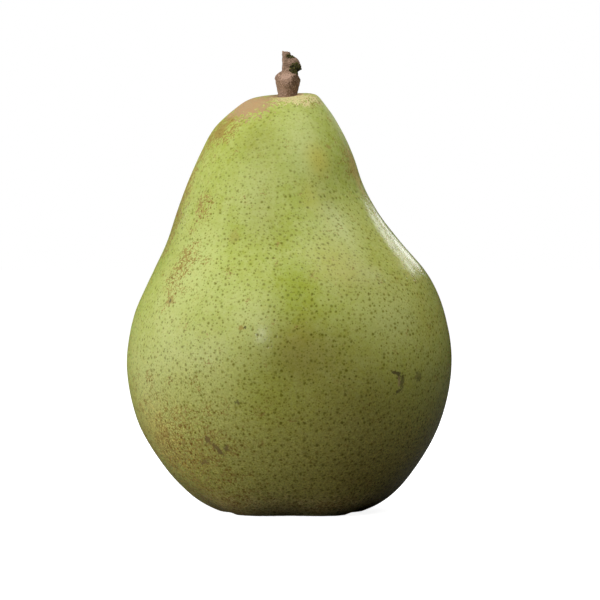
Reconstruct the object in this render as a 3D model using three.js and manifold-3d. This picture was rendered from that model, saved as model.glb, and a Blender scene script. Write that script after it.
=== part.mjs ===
// A whole green pear that stands on its blossom end: the fruit, its short woody stem with the stub that
// it broke off at, and the dried calyx in the basin underneath.
// Millimetres, +Z up. The origin is on the table under the middle of the belly, and -Y is the front.
import * as THREE from "three";
import { mergeVertices } from "three/addons/utils/BufferGeometryUtils.js";
import Module from "manifold-3d";

const wasm = await Module();
wasm.setup();

// Driving dimensions of the fruit
const BELLY_HALF_WIDTH = 40.7;
const FRUIT_HEIGHT = 104.0;
const DEPTH_SHARE = 0.97; // front to back against side to side
const NECK_FORWARD_LEAN = 1.2;
const TOP_TILT = 0.15; // rise of the top towards the back right, in mm per mm
const TOP_TILT_TOWARDS = 62; // degrees
const TOP_SADDLE = 0.1; // how far the left and right of the top stand above its front and back
const BASE_LOBES = 5; // one for each carpel
const BASE_LOBE_HEIGHT = 0.45;
const BASE_LOBE_SWELL = 0.5;
const BASE_LOBE_TURN = 18; // degrees

// The stem and its socket
const STEM_SOCKET_RADIUS = 2.6;
const STEM_SOCKET_DEPTH = 3.6;
const STEM_MIDDLE_X = -0.5;
const SOCKET_GAP = 0.3; // between a piece and the socket that it stands in

// The calyx, its basin and its socket
const BASIN_DEPTH = 4.6;
const CALYX_SOCKET_RADIUS = 2.6;
const CALYX_SOCKET_DEPTH = 2.4;
const SEPALS = 5;
const SEPAL_HALF_WIDTH = 1.5;
const SEPAL_HALF_THICKNESS = 0.32;
const STAMENS = 7;
const STAMEN_RADIUS = 0.28;

// Facets
const FRUIT_SIDES = 64;
const FRUIT_RINGS_PER_STEP = 3;
const STEM_SIDES = 20;
const STUB_SIDES = 12;
const SEPAL_SIDES = 8;
const STAMEN_SIDES = 5;

// The fruit's outline from the basin's floor to the top's hollow: half width, sideways place of the
// middle, and height. The base dips below the table here, and what is below is pressed flat.
const OUTLINE = [
  [CALYX_SOCKET_RADIUS, 0, BASIN_DEPTH], // the basin's floor, at the calyx
  [5.6, 0, 3.5],
  [8.4, 0.1, 0.6],
  [11.2, 0.3, -1.2], // the ring that it stands on
  [17.5, 0.55, 0.2],
  [24.6, 0.65, 3.8],
  [32.2, 0.3, 12.2],
  [38.2, 0.1, 23.4],
  [BELLY_HALF_WIDTH, 0.1, 37.0], // the belly
  [39.0, 0.2, 49.0],
  [34.8, 0.3, 59.0], // the shoulder, fuller on the right
  [29.5, -1.2, 67.0],
  [25.1, -2.9, 75.0],
  [22.1, -3.5, 81.6], // the waist of the neck
  [19.1, -3.3, 89.4],
  [15.3, -3.4, 96.7],
  [11.45, -2.5, 101.0],
  [8.6, -1.6, 103.4],
  [5.8, -0.9, FRUIT_HEIGHT], // the crest round the stem
  [3.6, STEM_MIDDLE_X, 104.1],
  [STEM_SOCKET_RADIUS, STEM_MIDDLE_X, 104.0], // the skin's edge, at the stem
];

// Low swells and dents that make the form a grown one: azimuth in degrees from +X, height, their reach
// round the fruit in degrees and up it in mm, and how far they rise.
const SWELLS = [
  { azimuth: -102, height: 48, reach: 9, span: 12, rise: 0.9 }, // the ridge that catches the light
  { azimuth: -82, height: 41, reach: 10, span: 14, rise: -0.5 }, // the valley beside it
  { azimuth: -125, height: 50, reach: 16, span: 16, rise: 0.5 },
  { azimuth: -45, height: 54, reach: 22, span: 9, rise: 0.7 }, // the full shoulder on the right
  { azimuth: -50, height: 36, reach: 20, span: 11, rise: 0.4 },
  { azimuth: -40, height: 80, reach: 17, span: 7, rise: -0.6 }, // the dent in the neck
  { azimuth: -140, height: 62, reach: 24, span: 14, rise: 0.4 },
  { azimuth: 62, height: 58, reach: 24, span: 14, rise: 0.7 },
  { azimuth: 118, height: 74, reach: 22, span: 10, rise: -0.6 },
  { azimuth: 150, height: 30, reach: 26, span: 18, rise: 0.5 },
];

const radians = THREE.MathUtils.degToRad;
const smoothStep = THREE.MathUtils.smoothstep;

// One closed skin of rings and sides. place(along, round) gives its points for shares from 0 to 1, and
// the first and the last ring are single points.
function closedSkin(rings, sides, place) {
  const points = [place(0, 0)];
  for (let ring = 1; ring < rings; ring++) {
    for (let side = 0; side < sides; side++) points.push(place(ring / rings, side / sides));
  }
  points.push(place(1, 0));
  const corner = (ring, side) => 1 + (ring - 1) * sides + (side % sides);
  const last = points.length - 1;
  const faces = [];
  for (let side = 0; side < sides; side++) {
    faces.push(0, corner(1, side + 1), corner(1, side));
    for (let ring = 1; ring < rings - 1; ring++) {
      faces.push(corner(ring, side), corner(ring, side + 1), corner(ring + 1, side + 1));
      faces.push(corner(ring, side), corner(ring + 1, side + 1), corner(ring + 1, side));
    }
    faces.push(corner(rings - 1, side), corner(rings - 1, side + 1), last);
  }
  return new THREE.BufferGeometry().setFromPoints(points).setIndex(faces);
}

// A closed tube along a smooth path, oval across: widthAt and thicknessAt give its half sizes for a
// share of its length, and its width lies square to upright.
function taperedTube(waypoints, rings, sides, widthAt, thicknessAt, upright) {
  const path = new THREE.CatmullRomCurve3(waypoints);
  return closedSkin(rings, sides, (along, round) => {
    const point = path.getPoint(along);
    if (along === 0 || along === 1) return point;
    const forward = path.getTangent(along);
    const across = new THREE.Vector3().crossVectors(forward, upright).normalize();
    const outward = new THREE.Vector3().crossVectors(across, forward);
    const turn = -2 * Math.PI * round;
    return point
      .addScaledVector(across, Math.cos(turn) * widthAt(along))
      .addScaledVector(outward, Math.sin(turn) * thicknessAt(along));
  });
}

// Several closed geometries joined as one solid.
function joined(geometries) {
  const solids = geometries.map((geometry) => {
    const bare = geometry.clone();
    bare.deleteAttribute("normal");
    bare.deleteAttribute("uv");
    const merged = mergeVertices(bare, 1e-4);
    return new wasm.Manifold(
      new wasm.Mesh({
        numProp: 3,
        vertProperties: merged.attributes.position.array,
        triVerts: new Uint32Array(merged.index.array),
      }),
    );
  });
  const mesh = solids.reduce((whole, solid) => whole.add(solid)).getMesh();
  return new THREE.BufferGeometry()
    .setAttribute("position", new THREE.BufferAttribute(mesh.vertProperties, 3))
    .setIndex(new THREE.BufferAttribute(mesh.triVerts, 1));
}

// How far the low swells lift the skin at an angle and a height.
function swellAt(theta, height) {
  return SWELLS.reduce((sum, { azimuth, height: middle, reach, span, rise }) => {
    const away = Math.cos(theta - radians(azimuth)) - 1;
    const round = Math.exp(away / (1 - Math.cos(radians(reach))));
    const up = Math.exp(-(((height - middle) / span) ** 2));
    return sum + rise * round * up;
  }, 0);
}

// The skin's point for a station of the outline, turned to theta.
function skinPoint([halfWidth, middle, height], theta) {
  const reach = Math.min(halfWidth / 9, 1);
  const lobe = Math.cos(BASE_LOBES * (theta - radians(BASE_LOBE_TURN))) * reach;
  const lowShare = 1 - smoothStep(height, 6, 55);
  const topShare = smoothStep(height, 80, 104);
  const leanShare = smoothStep(height, 55, FRUIT_HEIGHT);
  const swell = (swellAt(theta, height) + BASE_LOBE_SWELL * lobe * lowShare) * reach;
  const radius = halfWidth + swell;
  const tilt = TOP_TILT * halfWidth * Math.cos(theta - radians(TOP_TILT_TOWARDS));
  const saddle = TOP_SADDLE * Math.cos(2 * theta) * Math.min(halfWidth / 6, 1);
  const standing = height + topShare * (tilt + saddle) - BASE_LOBE_HEIGHT * lobe * (1 - smoothStep(height, 2, 12));
  return new THREE.Vector3(
    middle + radius * Math.cos(theta),
    DEPTH_SHARE * radius * Math.sin(theta) - NECK_FORWARD_LEAN * leanShare,
    Math.max(standing, 0),
  );
}

function fruitGeometry() {
  const curve = new THREE.CatmullRomCurve3(OUTLINE.map((station) => new THREE.Vector3(...station)));
  const steps = (OUTLINE.length - 1) * FRUIT_RINGS_PER_STEP;
  const stations = curve.getPoints(steps).map((point) => point.toArray());
  const calyxRim = stations[0];
  const stemRim = stations[steps];
  const calyxCeiling = calyxRim[2] + CALYX_SOCKET_DEPTH;
  const stemFloor = stemRim[2] - STEM_SOCKET_DEPTH;
  const rows = [
    [0, calyxRim[1], calyxCeiling],
    [CALYX_SOCKET_RADIUS, calyxRim[1], calyxCeiling],
    ...stations,
    [STEM_SOCKET_RADIUS, stemRim[1], stemFloor],
    [0, stemRim[1], stemFloor],
  ];
  const rings = rows.length - 1;
  return closedSkin(rings, FRUIT_SIDES, (along, round) =>
    skinPoint(rows[Math.round(along * rings)], 2 * Math.PI * round),
  );
}

// The middle of the stem where it leaves the fruit.
const stemFoot = skinPoint([0, STEM_MIDDLE_X, OUTLINE.at(-1)[2]], 0);

// The knuckle: the stem's lower part, which stands in the fruit's socket and widens upwards.
function knuckleGeometry() {
  const root = STEM_SOCKET_RADIUS - SOCKET_GAP;
  const sunk = STEM_SOCKET_DEPTH - SOCKET_GAP;
  const outline = [
    [0, 0, -sunk],
    [root - 0.2, 0, -sunk],
    [root, 0.05, 0],
    [2.6, 0.15, 1.2],
    [3.0, 0.22, 3.0],
    [3.25, 0.22, 4.3],
    [3.1, 0.25, 5.0],
    [2.4, 0.35, 5.7],
    [1.5, 0.3, 6.2],
    [0, 0.3, 6.3],
  ];
  const rings = outline.length - 1;
  return closedSkin(rings, STEM_SIDES, (along, round) => {
    const [halfWidth, middle, height] = outline[Math.round(along * rings)];
    const theta = 2 * Math.PI * round;
    const above = smoothStep(height, 0, 2);
    const knobs = 1 + above * (0.04 * Math.cos(3 * theta + 0.6) + 0.025 * Math.cos(5 * theta + height));
    const slope = above * 0.1 * halfWidth * Math.cos(theta - 2.6);
    return new THREE.Vector3(
      stemFoot.x + middle + halfWidth * knobs * Math.cos(theta),
      stemFoot.y + 0.92 * halfWidth * knobs * Math.sin(theta),
      stemFoot.z + height + slope,
    );
  });
}

// A point over the stem's foot: right, back and up from it.
const overFoot = (x, y, z) => new THREE.Vector3(stemFoot.x + x, stemFoot.y + y, stemFoot.z + z);

// The stub that the stem broke off at, upright on the knuckle's left.
function stubGeometry() {
  const waypoints = [
    overFoot(0.1, 0.1, 4.5),
    overFoot(0.0, 0, 7.0),
    overFoot(-0.1, -0.1, 9.5),
    overFoot(-0.25, -0.1, 11.2),
  ];
  const radiusAt = (along) => 1.5 - 0.35 * smoothStep(along, 0, 0.5) - 0.12 * smoothStep(along, 0.6, 1);
  return taperedTube(waypoints, 18, STUB_SIDES, radiusAt, radiusAt, new THREE.Vector3(0, 1, 0));
}

// The lobe that leans on the stub's right: the old bud that stood beside the stalk.
function lobeGeometry() {
  const waypoints = [
    overFoot(1.8, -0.1, 4.6),
    overFoot(1.85, -0.2, 6.4),
    overFoot(1.3, -0.15, 8.2),
    overFoot(0.3, 0, 10.0),
  ];
  const radiusAt = (along) => 1.85 * Math.sin(Math.PI * Math.min(Math.max(along, 0.05), 0.95)) ** 0.5;
  return taperedTube(waypoints, 14, STUB_SIDES, radiusAt, radiusAt, new THREE.Vector3(0, 1, 0));
}

// The dried flower's cup, whose root stands in the calyx socket.
function cupGeometry() {
  const ceiling = BASIN_DEPTH + CALYX_SOCKET_DEPTH - SOCKET_GAP;
  const root = CALYX_SOCKET_RADIUS - SOCKET_GAP;
  const outline = [
    [0, BASIN_DEPTH + 0.3],
    [0.9, BASIN_DEPTH - 0.1],
    [1.5, BASIN_DEPTH - 1.2],
    [2.1, BASIN_DEPTH - 1.3],
    [2.5, BASIN_DEPTH - 0.7],
    [root, BASIN_DEPTH],
    [root, ceiling],
    [0, ceiling],
  ];
  const rings = outline.length - 1;
  return closedSkin(rings, 2 * SEPALS * 2, (along, round) => {
    const [radius, height] = outline[Math.round(along * rings)];
    const theta = 2 * Math.PI * round;
    return new THREE.Vector3(radius * Math.cos(theta), radius * Math.sin(theta), height);
  });
}

// A point of the calyx: out from its middle towards theta, at a height.
const outFrom = (theta, radius, height) =>
  new THREE.Vector3(radius * Math.cos(theta), radius * Math.sin(theta), height);

// One sepal: a pointed blade that spreads from the cup and curls back up at its tip.
function sepalGeometry(index) {
  const theta = (2 * Math.PI * index) / SEPALS + radians(BASE_LOBE_TURN);
  const curl = 0.25 * Math.sin(3 * index);
  const waypoints = [
    outFrom(theta, 1.7, BASIN_DEPTH - 0.7),
    outFrom(theta, 2.8, BASIN_DEPTH - 1.7),
    outFrom(theta + 0.05, 4.2, BASIN_DEPTH - 2.3 - curl),
    outFrom(theta + 0.12, 5.6, BASIN_DEPTH - 2.2 + curl),
  ];
  const widthAt = (along) => SEPAL_HALF_WIDTH * (1 - 0.8 * along ** 1.6);
  return taperedTube(waypoints, 8, SEPAL_SIDES, widthAt, () => SEPAL_HALF_THICKNESS, new THREE.Vector3(0, 0, 1));
}

// One dried stamen, standing in the cup.
function stamenGeometry(index) {
  const theta = (2 * Math.PI * index) / STAMENS + 0.3;
  const spread = 0.25 * Math.cos(2.4 * index);
  const waypoints = [
    outFrom(theta, 0.7, BASIN_DEPTH + 0.4),
    outFrom(theta, 1.0, BASIN_DEPTH - 1.0),
    outFrom(theta + spread, 0.9 + spread, BASIN_DEPTH - 2.4),
  ];
  const radiusAt = () => STAMEN_RADIUS;
  return taperedTube(waypoints, 4, STAMEN_SIDES, radiusAt, radiusAt, new THREE.Vector3(-Math.sin(theta), Math.cos(theta), 0));
}

function namedMesh(name, geometry, color, roughness) {
  const mesh = new THREE.Mesh(geometry, new THREE.MeshStandardMaterial({ color, roughness, metalness: 0 }));
  mesh.geometry.computeVertexNormals();
  mesh.name = name;
  return mesh;
}

const numbers = (count) => Array.from({ length: count }, (_, index) => index);
const calyxPieces = [cupGeometry(), ...numbers(SEPALS).map(sepalGeometry), ...numbers(STAMENS).map(stamenGeometry)];

const pear = new THREE.Group();
pear.add(
  namedMesh("fruit", fruitGeometry(), 0xa9b25c, 0.42),
  namedMesh("stem", joined([knuckleGeometry(), stubGeometry(), lobeGeometry()]), 0x7d5f49, 0.8),
  namedMesh("calyx", joined(calyxPieces), 0x3f2f22, 0.85),
);

export default pear;
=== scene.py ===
# %% [markdown]
# # A green pear that stands on its blossom end
#
# A pear is three things that grew together: the flesh in its skin, a woody stem, and the dried remains of
# the flower, which is called the calyx. Each of them becomes one piece here, in its own part of the lesson:
# first its form, then its finish. Every size is written in millimetres, and Blender works in metres.

# %% Load the frame
import math

import bpy
import numpy as np
from mathutils import Euler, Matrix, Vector, noise


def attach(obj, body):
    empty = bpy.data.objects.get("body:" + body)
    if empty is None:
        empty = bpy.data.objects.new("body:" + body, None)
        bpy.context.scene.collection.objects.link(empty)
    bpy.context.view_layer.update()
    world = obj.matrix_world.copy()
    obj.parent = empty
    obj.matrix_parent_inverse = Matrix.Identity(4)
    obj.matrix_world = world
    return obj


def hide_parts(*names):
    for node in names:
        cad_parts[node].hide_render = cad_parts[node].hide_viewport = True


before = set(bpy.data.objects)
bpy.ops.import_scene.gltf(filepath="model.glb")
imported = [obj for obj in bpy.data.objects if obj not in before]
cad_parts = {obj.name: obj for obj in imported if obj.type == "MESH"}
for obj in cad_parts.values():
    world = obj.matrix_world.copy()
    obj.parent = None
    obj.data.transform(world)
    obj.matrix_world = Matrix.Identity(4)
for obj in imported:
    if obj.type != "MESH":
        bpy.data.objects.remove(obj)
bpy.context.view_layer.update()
MM = 0.001
print("solids of the frame:", ", ".join(sorted(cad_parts)))


# %% [markdown]
# ## Working as by hand
#
# An operator acts on whatever is selected, so each piece starts from an empty selection. These helpers say in
# one word what a modeller does with a key: start a piece, pick some of its points, or apply a modifier.

# %% Helpers for modelling
def start_piece(name):
    """Names the primitive that was just added, and gives it back."""
    piece = bpy.context.active_object
    piece.name = name
    piece.data.name = name
    return piece


def nothing_selected():
    bpy.ops.object.select_all(action="DESELECT")


def only(piece):
    """Makes the piece the only one that operators act on."""
    nothing_selected()
    piece.select_set(True)
    bpy.context.view_layer.objects.active = piece


def pick(piece, wanted):
    """Selects the points that wanted says yes to, and leaves the piece in edit mode."""
    bpy.ops.object.mode_set(mode="EDIT")
    bpy.ops.mesh.select_mode(type="VERT")
    bpy.ops.mesh.select_all(action="DESELECT")
    bpy.ops.object.mode_set(mode="OBJECT")
    for point in piece.data.vertices:
        point.select = bool(wanted(point))
    bpy.ops.object.mode_set(mode="EDIT")


def apply_modifier(piece, kind, **settings):
    only(piece)
    modifier = piece.modifiers.new(kind.title(), kind)
    for name, value in settings.items():
        setattr(modifier, name, value)
    bpy.ops.object.modifier_apply(modifier=modifier.name)


def join(piece, others):
    """Makes the others a part of the piece."""
    only(piece)
    for other in others:
        other.select_set(True)
    bpy.ops.object.join()


def size_in_mm(piece):
    return [round(side / MM, 1) for side in piece.dimensions]


# %% [markdown]
# ## Working as nature does
#
# A grown thing is never even. One helper lifts and lowers a surface by a slow cloud. Another is an even S
# between two values, which lets a swell or a colour fade without an edge. The last two write a number on each
# point of a piece and read it back, because a finish can follow such numbers.

# %% Helpers for what has grown
def roughen(piece, name, puff, height):
    """Moves the surface by a cloud with puffs of puff millimetres, height millimetres from low to high."""
    puffs = bpy.data.textures.new(name, "CLOUDS")
    puffs.noise_scale = puff * MM
    cloudy = {"texture": puffs, "texture_coords": "LOCAL", "mid_level": 0.5, "strength": height * MM}
    apply_modifier(piece, "DISPLACE", **cloudy)


def smooth_step(value, low, high):
    """0 below low, 1 above high, and an even S between them."""
    share = np.clip((value - low) / (high - low), 0, 1)
    return share * share * (3 - 2 * share)


def keep_on(piece, name, values):
    """Writes one number on each point of the piece."""
    attribute = piece.data.attributes.new(name, "FLOAT", "POINT")
    attribute.data.foreach_set("value", np.asarray(values, np.float32))


def read_from(piece, name):
    values = np.zeros(len(piece.data.vertices), np.float32)
    piece.data.attributes[name].data.foreach_get("value", values)
    return values


print("an even S:", [round(float(smooth_step(value, 0, 4)), 2) for value in range(5)])


# %% [markdown]
# ## The outline of the fruit
#
# Seen from the front, a pear is a row of level rings: small ones in the basin round the calyx, wide ones at
# the belly, and small ones again at the stem. Each station below gives one ring's half width, how far its
# middle stands to the side, and its height. A smooth curve through the stations gives the rings between
# them, as a bent batten does on a boat's frames. The part that dips below the table is pressed flat later.

# %% The stations
BELLY_HALF_WIDTH = 40.7
FRUIT_HEIGHT = 104.0
BASIN_DEPTH = 4.6
STEM_MIDDLE_X = -0.5
OUTLINE = np.array([
    # half width, middle, height
    [2.0, 0, BASIN_DEPTH + 0.4],
    [2.6, 0, BASIN_DEPTH],  # the basin's floor, at the calyx
    [5.6, 0, 3.5],
    [8.4, 0.1, 0.6],
    [11.2, 0.3, -1.2],  # the ring that it stands on
    [17.5, 0.55, 0.2],
    [24.6, 0.65, 3.8],
    [32.2, 0.3, 12.2],
    [38.2, 0.1, 23.4],
    [BELLY_HALF_WIDTH, 0.1, 37.0],  # the belly
    [39.0, 0.2, 49.0],
    [34.8, 0.3, 59.0],  # the shoulder, fuller on the right
    [29.5, -1.2, 67.0],
    [25.1, -2.9, 75.0],
    [22.1, -3.5, 81.6],  # the waist of the neck
    [19.1, -3.3, 89.4],
    [15.3, -3.4, 96.7],
    [11.45, -2.5, 101.0],
    [8.6, -1.6, 103.4],
    [5.8, -0.9, FRUIT_HEIGHT],  # the crest round the stem
    [3.6, STEM_MIDDLE_X, 104.1],
    [2.6, STEM_MIDDLE_X, 104.0],  # the skin's edge, at the stem
    [2.0, STEM_MIDDLE_X, 103.8],
])
RINGS_PER_STATION = 3


def ring_at(place):
    """The ring at a place along the stations, where 2.5 is halfway between the third and the fourth."""
    index = min(int(place), len(OUTLINE) - 2)
    share = place - index
    here, there = OUTLINE[index], OUTLINE[index + 1]
    before = OUTLINE[index - 1] if index > 0 else 2 * here - there
    after = OUTLINE[index + 2] if index + 2 < len(OUTLINE) else 2 * there - here
    first, middle, last = (
        math.sqrt(np.linalg.norm(b - a)) for a, b in ((before, here), (here, there), (there, after))
    )
    step = there - here
    leaving = middle * ((here - before) / first - (there - before) / (first + middle)) + step
    arriving = middle * ((after - there) / last - (after - here) / (middle + last)) + step
    return (
        here
        + leaving * share
        + (3 * step - 2 * leaving - arriving) * share**2
        + (leaving + arriving - 2 * step) * share**3
    )


ring_count = RINGS_PER_STATION * (len(OUTLINE) - 1) + 1
rings = np.array([ring_at(number / RINGS_PER_STATION) for number in range(ring_count)])
print(ring_count, "rings, the widest", round(2 * rings[:, 0].max(), 1), "mm across")

# %% [markdown]
# ## The cage of the fruit
#
# A round form like this could be spun from its outline, but a pear leans, so its rings don't share one
# middle. So one circle is extruded from ring to ring, and each time it is moved to the new ring's middle and
# scaled to its width. The fruit is a little less deep than wide, which the first circle settles for all.

# %% Extrude the cage ring by ring
SIDES = 64
DEPTH_SHARE = 0.97
NECK_FORWARD_LEAN = 1.2
NECK_LEANS_FROM = 55


def grow_rings(name, sides, half_widths, middles, depth_share=1.0):
    """Extrudes a filled circle from middle to middle, and scales it to each half width, in millimetres."""
    nothing_selected()
    bpy.ops.mesh.primitive_circle_add(
        vertices=sides, radius=half_widths[0] * MM, fill_type="NGON", location=Vector(middles[0]) * MM
    )
    piece = start_piece(name)
    bpy.ops.object.transform_apply(location=True)
    bpy.ops.object.mode_set(mode="EDIT")
    bpy.ops.transform.resize(value=(1, depth_share, 1), center_override=Vector(middles[0]) * MM)
    for number in range(1, len(middles)):
        step = (Vector(middles[number]) - Vector(middles[number - 1])) * MM
        bpy.ops.mesh.extrude_region_move(TRANSFORM_OT_translate={"value": step})
        wider = half_widths[number] / half_widths[number - 1]
        bpy.ops.transform.resize(value=(wider, wider, 1), center_override=Vector(middles[number]) * MM)
    bpy.ops.mesh.select_all(action="SELECT")
    bpy.ops.mesh.normals_make_consistent(inside=False)
    bpy.ops.object.mode_set(mode="OBJECT")
    return piece


def ring_middle(ring):
    """The middle of a ring of the fruit, in millimetres. The neck leans a little towards the front."""
    _, middle, height = ring
    lean = NECK_FORWARD_LEAN * float(smooth_step(height, NECK_LEANS_FROM, FRUIT_HEIGHT))
    return Vector((middle, -lean, height))


fruit = grow_rings("pear_fruit", SIDES, rings[:, 0], [ring_middle(ring) for ring in rings], DEPTH_SHARE)
print("cage:", len(fruit.data.vertices), "points in", len(fruit.data.vertices) // SIDES, "rings")

# %% [markdown]
# ## What makes it a grown form
#
# A turned form looks like plastic. A real pear has five low lobes at its base, one for each of its seed
# chambers, a top that slopes, and swells and dents that nobody planned. The one that shows most is a ridge on
# the front, left of the middle, where the light breaks off. Each swell below has an azimuth in degrees, a
# height, its reach round the fruit in degrees and up it in millimetres, and how far it rises. Moving each
# point of the cage outwards by their sum is what a sculptor's large, soft brush does.

# %% Let it grow unevenly
SWELLS = (
    # azimuth, height, reach, span, rise
    (-102, 48, 9, 12, 0.9),  # the ridge that catches the light
    (-82, 41, 10, 14, -0.5),  # the valley beside it
    (-125, 50, 16, 16, 0.5),
    (-45, 54, 22, 9, 0.7),  # the full shoulder on the right
    (-50, 36, 20, 11, 0.4),
    (-40, 80, 17, 7, -0.6),  # the dent in the neck
    (-140, 62, 24, 14, 0.4),
    (62, 58, 24, 14, 0.7),
    (118, 74, 22, 10, -0.6),
    (150, 30, 26, 18, 0.5),
)
SWELLS_FULL_FROM_HALF_WIDTH = 9
LOBES = 5
LOBE_TURN = math.radians(18)
LOBE_SWELL = 0.5
LOBE_SWELL_FADES = (6, 55)
LOBE_DIP = 0.45
LOBE_DIP_FADES = (2, 12)
TOP_SLOPE_GROWS = (80, 104)
TOP_TILT = 0.15
TOP_TILT_TOWARDS = math.radians(62)
TOP_SADDLE = 0.1
SADDLE_FULL_FROM_HALF_WIDTH = 6


def swell_at(theta, height):
    total = 0
    for azimuth, middle, reach, span, rise in SWELLS:
        away = math.cos(theta - math.radians(azimuth)) - 1
        round_it = math.exp(away / (1 - math.cos(math.radians(reach))))
        total += rise * round_it * math.exp(-(((height - middle) / span) ** 2))
    return total


for point in fruit.data.vertices:
    half_width, _, height = ring = rings[point.index // SIDES]
    arm = point.co / MM - ring_middle(ring)
    theta = math.atan2(arm.y / DEPTH_SHARE, arm.x)
    fullness = min(half_width / SWELLS_FULL_FROM_HALF_WIDTH, 1)
    lobe = math.cos(LOBES * (theta - LOBE_TURN)) * fullness
    bulge = LOBE_SWELL * lobe * (1 - smooth_step(height, *LOBE_SWELL_FADES)) * fullness
    dip = LOBE_DIP * lobe * (1 - smooth_step(height, *LOBE_DIP_FADES))
    tilt = TOP_TILT * half_width * math.cos(theta - TOP_TILT_TOWARDS)
    saddle = TOP_SADDLE * math.cos(2 * theta) * min(half_width / SADDLE_FULL_FROM_HALF_WIDTH, 1)
    outwards = swell_at(theta, height) * fullness + bulge
    upwards = smooth_step(height, *TOP_SLOPE_GROWS) * (tilt + saddle) - dip
    point.co += Vector((outwards * math.cos(theta), DEPTH_SHARE * outwards * math.sin(theta), upwards)) * MM
print("the cage is", size_in_mm(fruit), "mm")

# %% [markdown]
# ## Round it, and set it down
#
# A subdivision surface rounds the cage. Its own points carry how far along the outline they are, because the
# skin's pores are laid out by that length later. A slow cloud then lifts and lowers the surface by less than
# a tenth of a millimetre, which breaks up reflections as a real skin does. The part that hangs below the
# table is scaled to nothing in height, and that leaves the small flat ring that the fruit stands on.

# %% Subdivide, roughen and flatten
FLESH_UNEVENNESS = 0.16
FLESH_WAVE = 9.0
lengths = np.concatenate([[0], np.cumsum(np.linalg.norm(np.diff(rings, axis=0), axis=1))])
keep_on(fruit, "along", np.repeat(lengths, SIDES))
apply_modifier(fruit, "SUBSURF", levels=2, render_levels=2)
roughen(fruit, "flesh_unevenness", FLESH_WAVE, FLESH_UNEVENNESS)
pick(fruit, lambda point: point.co.z < 0)
bpy.ops.transform.resize(value=(1, 1, 0), center_override=(0, 0, 0))
bpy.ops.object.mode_set(mode="OBJECT")
bpy.ops.object.shade_smooth()
print("skin:", len(fruit.data.polygons), "faces")

# %% [markdown]
# ## Where each bit of skin is
#
# The finish depends on the place: russet round the stem, a flush low on the left, paler pores on the neck. So
# each point's azimuth and the half width of its ring are worked out. The half width is kept for the pores.

# %% Measure the skin
count = len(fruit.data.vertices)
places = np.zeros(count * 3, np.float32)
fruit.data.vertices.foreach_get("co", places)
places = places.reshape(-1, 3) / MM
skin_along = read_from(fruit, "along")
ring_middles = np.array([ring_middle(ring)[:2] for ring in rings])
middles = [np.interp(skin_along, lengths, ring_middles[:, axis]) for axis in (0, 1)]
arms = places[:, :2] - np.stack(middles, axis=1)
azimuths = np.arctan2(arms[:, 1] / DEPTH_SHARE, arms[:, 0])
half_widths = np.interp(skin_along, lengths, rings[:, 0])
heights = places[:, 2]
keep_on(fruit, "half_width", half_widths)
print("along the skin:", round(float(skin_along.max()), 1), "mm from the calyx to the stem")

# %% [markdown]
# ## A flat map of the skin for its pores
#
# The pores, called lenticels, are spread evenly, one to two millimetres apart, all over the fruit. A cell
# pattern does that on a flat sheet, but a round skin has no flat sheet. It can be peeled into eight gores,
# like an orange, each nearly flat along its middle. Two such peelings are kept, half a gore apart, and each
# shows only the pores in the middle half of its gores. So every pore lies where its map is true.

# %% Peel the skin twice
GORES = 8
GORE_ANGLE = 2 * math.pi / GORES
GORE_STEP = 100.0
loop_points = np.zeros(len(fruit.data.loops), np.int32)
fruit.data.loops.foreach_get("vertex_index", loop_points)
face_sizes = np.zeros(len(fruit.data.polygons), np.int32)
fruit.data.polygons.foreach_get("loop_total", face_sizes)
loop_faces = np.repeat(np.arange(len(face_sizes)), face_sizes)
towards = np.exp(1j * azimuths[loop_points])
face_azimuths = np.angle(
    np.bincount(loop_faces, towards.real) + 1j * np.bincount(loop_faces, towards.imag)
)
for name, shift in (("pores_a", 0.0), ("pores_b", 0.5)):
    gores = np.round(face_azimuths / GORE_ANGLE - shift)[loop_faces]
    aside = np.angle(towards * np.exp(-1j * (gores + shift) * GORE_ANGLE))
    flat = np.stack([aside * half_widths[loop_points] + gores * GORE_STEP, skin_along[loop_points]], axis=1)
    layer = fruit.data.uv_layers.new(name=name)
    layer.data.foreach_set("uv", flat.astype(np.float32).ravel())
print("peeled into", 2 * GORES, "gores")


# %% [markdown]
# ## Shader maths in plain Python
#
# A finish is a sum of masks: this colour where there is a pore, that one where the russet is. A Wire stands
# for one output of a shader node, and adding or multiplying wires adds the Math nodes. Every other node comes
# from one method, which takes the node's type, its settings, and what goes into its sockets.

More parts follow.
